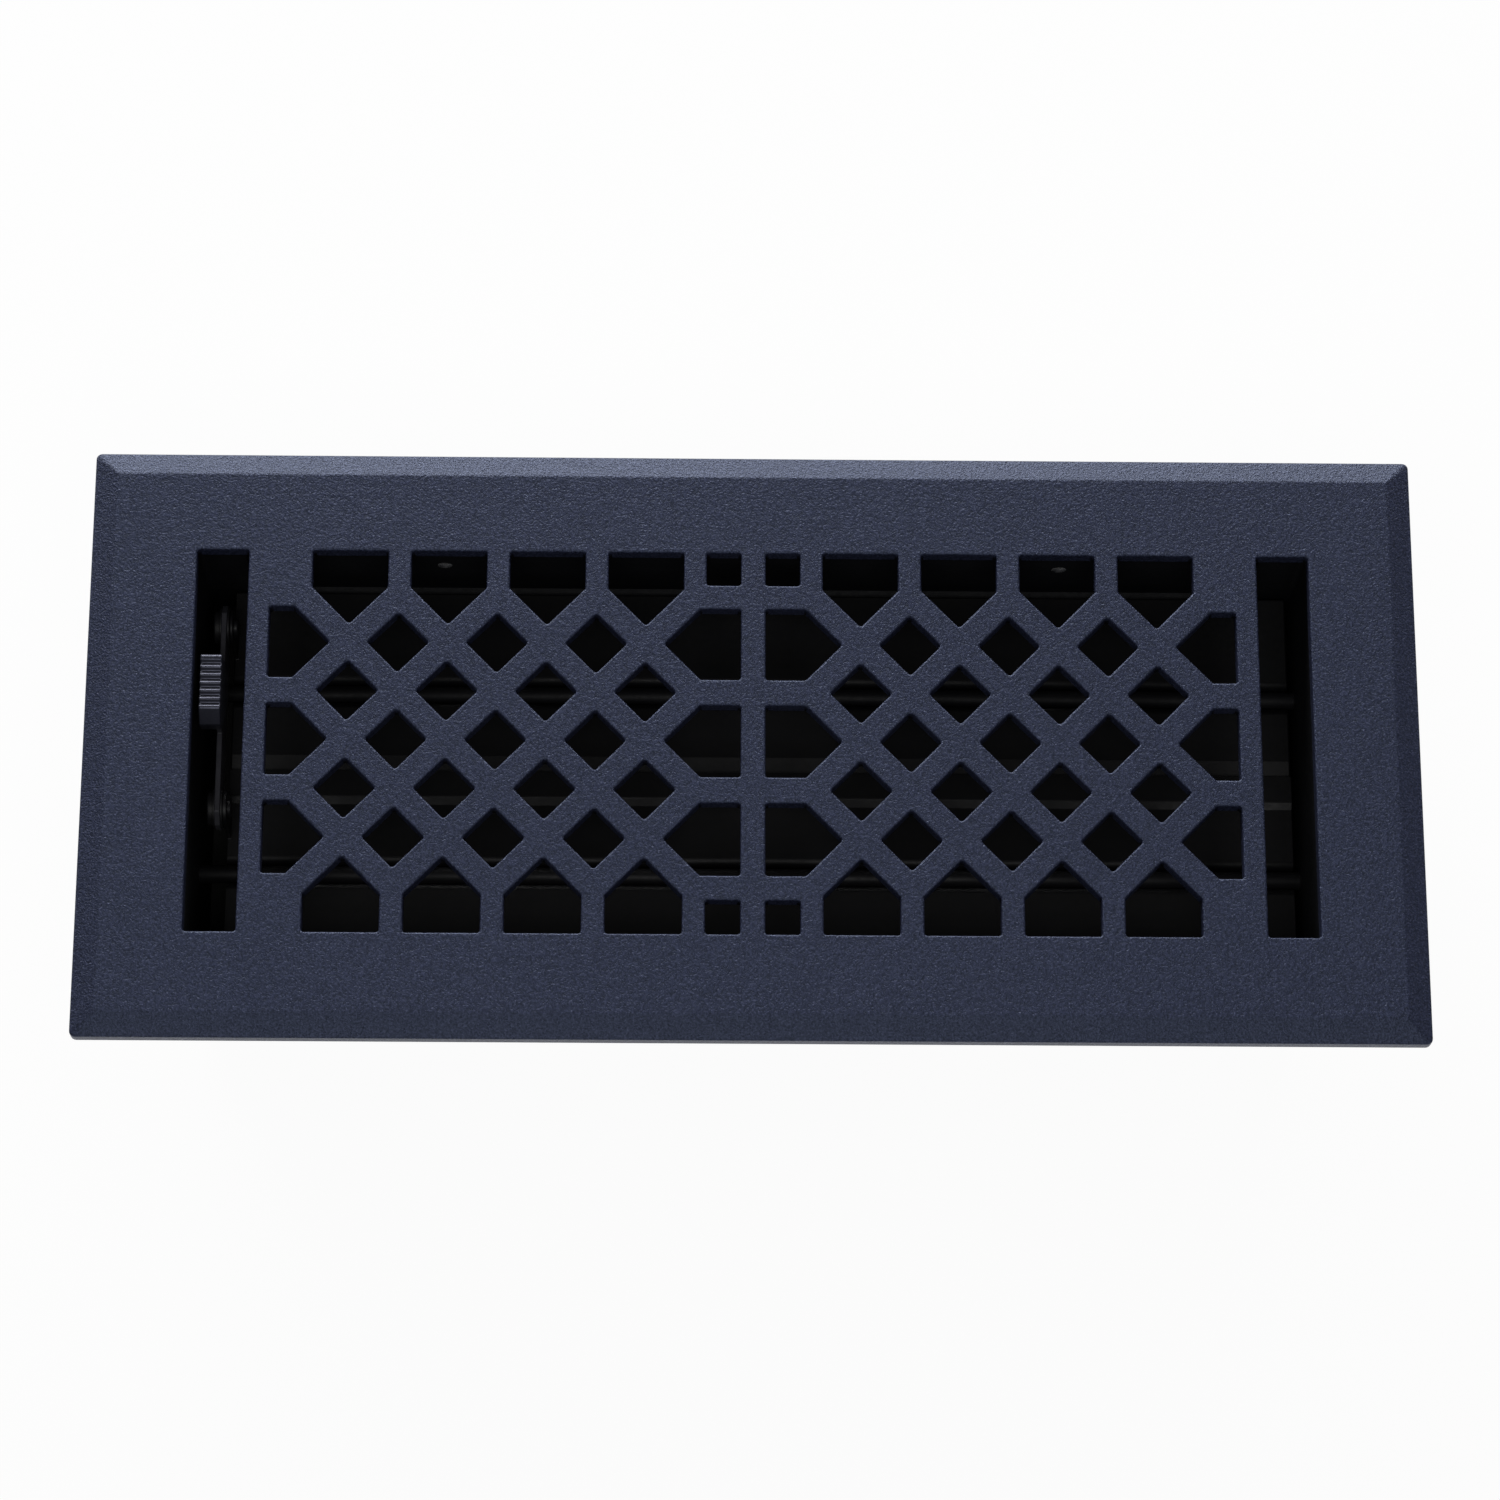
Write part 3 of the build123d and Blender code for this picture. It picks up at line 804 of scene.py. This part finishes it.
def make_screws():
    """Hexagon screws with chamfered heads under the four bosses."""
    low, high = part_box("mounting_screws")
    bottom, tip = low.z / MM, high.z / MM
    seat = bottom + HEX_HEIGHT
    flat, face = HEX_FLATS / 2, HEX_FACE / 2
    shank = SCREW_DIAMETER / 2 - SCREW_PLAY
    screws = Skin()
    for x, y in boss_places:
        rings = [[], [], [], [], []]
        for i in range(HEX_STEPS):
            angle = 2 * pi * i / HEX_STEPS
            reach = flat / cos((angle + pi / 6) % (pi / 3) - pi / 6)
            edge = bottom + (reach - face) * tan(radians(HEX_CHAMFER))
            profile = ((face, bottom), (reach, edge), (reach, seat), (shank, seat), (shank, tip))
            for ring, (radius, z) in zip(rings, profile):
                ring.append((x + radius * cos(angle), y + radius * sin(angle), z))
        loops = [screws.loop(ring) for ring in rings]
        screws.face(loops[0])
        for lower, upper in zip(loops, loops[1:]):
            screws.strip(lower, upper, everywhere)
        screws.face(loops[-1])
    piece = screws.build("mounting_screw_set", "plated_steel", "register_frame", "mounting_screws")
    crease(piece, HEX_CREASE)


def make_crank_rivet(node, body):
    """Shouldered crank rivet with a rounded head."""
    low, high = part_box(node)
    y, z = (low.y + high.y) / 2 / MM, (low.z + high.z) / 2 / MM
    length = (high.x - low.x) / MM
    head, shank = PIN_HEAD / 2, PIN_SHANK / 2
    seat = length - PIN_HEAD_HEIGHT
    profile = [(0, 0), (shank - PIN_TAIL_EDGE, 0), (shank, PIN_TAIL_EDGE), (shank, seat), (head, seat)]
    for step in range(PIN_EDGE_STEPS + 1):
        angle = pi / 2 * step / PIN_EDGE_STEPS
        radius = head - PIN_HEAD_EDGE * (1 - cos(angle))
        profile.append((radius, length - PIN_HEAD_EDGE * (1 - sin(angle))))
    profile.append((0, length))
    rivet = Skin()
    add_turned(rivet, profile, (high.x / MM, y, z), (-1, 0, 0))
    crease(rivet.build(node + "_turned", "lever_steel", body, node), TURNED_CREASE)


def soften_node(node, width):
    """Take the knife edge off a CAD node with a small bevel."""
    part = frame["nodes"][node]
    weld = part.modifiers.new("weld", "WELD")
    weld.merge_threshold = WELD_REACH * MM
    bevel = part.modifiers.new("soft_edges", "BEVEL")
    bevel.width = width * MM
    bevel.segments = SOFT_EDGE_STEPS
    bevel.limit_method = "ANGLE"
    bevel.angle_limit = radians(SOFT_EDGE_ANGLE)


def under_box_shade_fade(n):
    """Zero on the floor under the box, rising smoothly to one around it: where the painted shade lies and
    where it fades.
    """
    apart = n.add("ShaderNodeSeparateXYZ")
    n.join(n.place, apart.inputs[0])
    along = n.calculate("ABSOLUTE", apart.outputs["X"])
    across = apart.outputs["Y"]
    sides = (
        (along, UNDER_X, FADE_X),
        (across, UNDER_BACK, FADE_BACK),
        (across, -UNDER_FRONT, -FADE_FRONT),
    )
    away = n.add("ShaderNodeCombineXYZ")
    for target, (place, edge, fade) in zip(away.inputs, sides):
        n.join(n.span(place, 0.0, 1.0, edge, edge + fade), target)
    distance = n.add("ShaderNodeVectorMath", operation="LENGTH")
    n.join(away.outputs[0], distance.inputs[0])
    smooth = n.add("ShaderNodeMapRange", interpolation_type="SMOOTHSTEP")
    n.join(distance.outputs["Value"], smooth.inputs["Value"])
    return smooth.outputs["Result"]


def floor_white():
    """Pale floor with painted shade under and around the open box, that camera, gloss and glass see white
    with a soft shadow.
    """
    n = Nodes("floor_white")
    pale = n.shaded(n.noise(FLOOR_CLOUD), FLOOR_PALE, FLOOR_PALER)
    outside = under_box_shade_fade(n)
    # Floor colour darkened to the painted shade under the box, fading out around it
    n.vary("Base Color", n.tinted(pale, n.ramp(outside, (0.0, UNDER_SHADE_TONE), (1.0, WHITE))))
    n.fix("Roughness", 0.9)
    n.fix("Specular IOR Level", 0.1)
    rays = n.add("ShaderNodeLightPath").outputs
    seen = n.calculate("MAXIMUM", rays["Is Camera Ray"], rays["Is Glossy Ray"])
    seen = n.calculate("MAXIMUM", seen, rays["Is Transmission Ray"])
    shown = n.calculate("MULTIPLY", seen, outside)
    share = n.calculate("MULTIPLY", shown, 1 - FLOOR_SHADOW)
    white = n.add("ShaderNodeEmission")
    blend = n.add("ShaderNodeMixShader")
    n.join(share, blend.inputs["Fac"])
    n.join(n.shader.outputs[0], blend.inputs[1])
    n.join(white.outputs[0], blend.inputs[2])
    n.join(blend.outputs[0], n.tree.nodes["Material Output"].inputs["Surface"])
    return n.material


def make_floor():
    """Plain flat floor at the box's foot."""
    mesh = bpy.data.meshes.new("floor")
    corners = upright(-FLOOR_REACH, FLOOR_REACH, -FLOOR_REACH, FLOOR_REACH)
    mesh.from_pydata([(x, y, cad_box[0].z) for x, y in corners], [], [(0, 1, 2, 3)])
    mesh.materials.append(floor_white())
    floor = bpy.data.objects.new("floor", mesh)
    bpy.context.scene.collection.objects.link(floor)


def add_softbox(name, place, size, radiance):
    """Soft rectangular light at a place in metres, facing the object."""
    width, height = size
    light = bpy.data.lights.new(name, "AREA")
    light.shape = "RECTANGLE"
    light.size = width
    light.size_y = height
    light.energy = radiance * width * height * pi
    holder = bpy.data.objects.new(name, light)
    holder.location = place
    holder.rotation_euler = Vector(place).to_track_quat("Z", "Y").to_euler()
    bpy.context.scene.collection.objects.link(holder)


def make_light():
    """Low broad softbox behind the plate, a weaker one overhead and a dim even sky."""
    world = bpy.data.worlds.new("studio")
    bpy.context.scene.world = world
    world.use_nodes = True
    sky = world.node_tree.nodes["Background"]
    sky.inputs["Color"].default_value = WHITE
    sky.inputs["Strength"].default_value = SKY_LEVEL
    add_softbox("back_softbox", BACK_PLACE, BACK_SIZE, BACK_LIGHT)
    add_softbox("top_softbox", TOP_PLACE, TOP_SIZE, TOP_LIGHT)


def make_camera():
    """Camera at the photograph's place and angle."""
    lens = bpy.data.cameras.new("photo_camera")
    lens.lens = LENS
    lens.sensor_width = SENSOR
    lens.clip_start = CLIP_NEAR
    lens.clip_end = CLIP_FAR
    camera = bpy.data.objects.new("photo_camera", lens)
    turn = Matrix((CAMERA_RIGHT, CAMERA_UP, CAMERA_BACK)).transposed()
    camera.matrix_world = Matrix.Translation(CAMERA_PLACE) @ turn.to_4x4()
    bpy.context.scene.collection.objects.link(camera)
    bpy.context.scene.camera = camera


finish_cad_nodes()
make_faceplate()
make_thumb_cap()
make_corner_rivets()
make_screws()
make_crank_rivet("front_crank_rivet", "front_blade")
make_crank_rivet("rear_crank_rivet", "rear_blade")
for node, width in SOFT_EDGES.items():
    soften_node(node, width)
make_floor()
make_light()
make_camera()
bpy.context.scene.view_settings.view_transform = "Standard"
